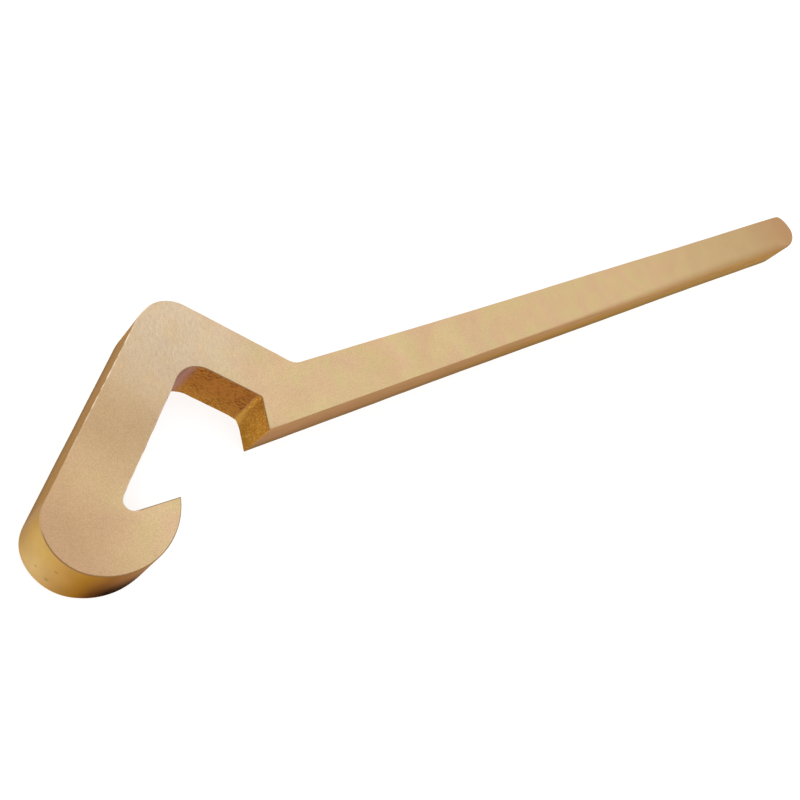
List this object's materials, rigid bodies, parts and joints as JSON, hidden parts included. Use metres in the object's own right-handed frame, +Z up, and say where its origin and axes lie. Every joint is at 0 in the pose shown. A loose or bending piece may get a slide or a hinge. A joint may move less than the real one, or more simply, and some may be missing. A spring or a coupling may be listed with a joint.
{
  "type": "fire hydrant wrench",
  "caption": "One-piece non-sparking bronze hydrant wrench: a long straight bar handle, a slanted bridge and arm, and a hook that closes on a lug or nut against a square tooth.",
  "frame": {"origin": "middle of the underside of the whole tool's box, on the surface it lies on", "axes": "+X along the handle, from the hook to the handle's free end; +Y to the side that the elbow points to; +Z up, through the bar's thickness"},
  "size_m": [0.4, 0.061, 0.0145],
  "materials": {
    "bronze": "ground matt faces, smoother golden sides, rough-sanded mouth"
  },
  "bodies": {
    "root": {"wrench_body": "bronze"}
  },
  "joints": []
}
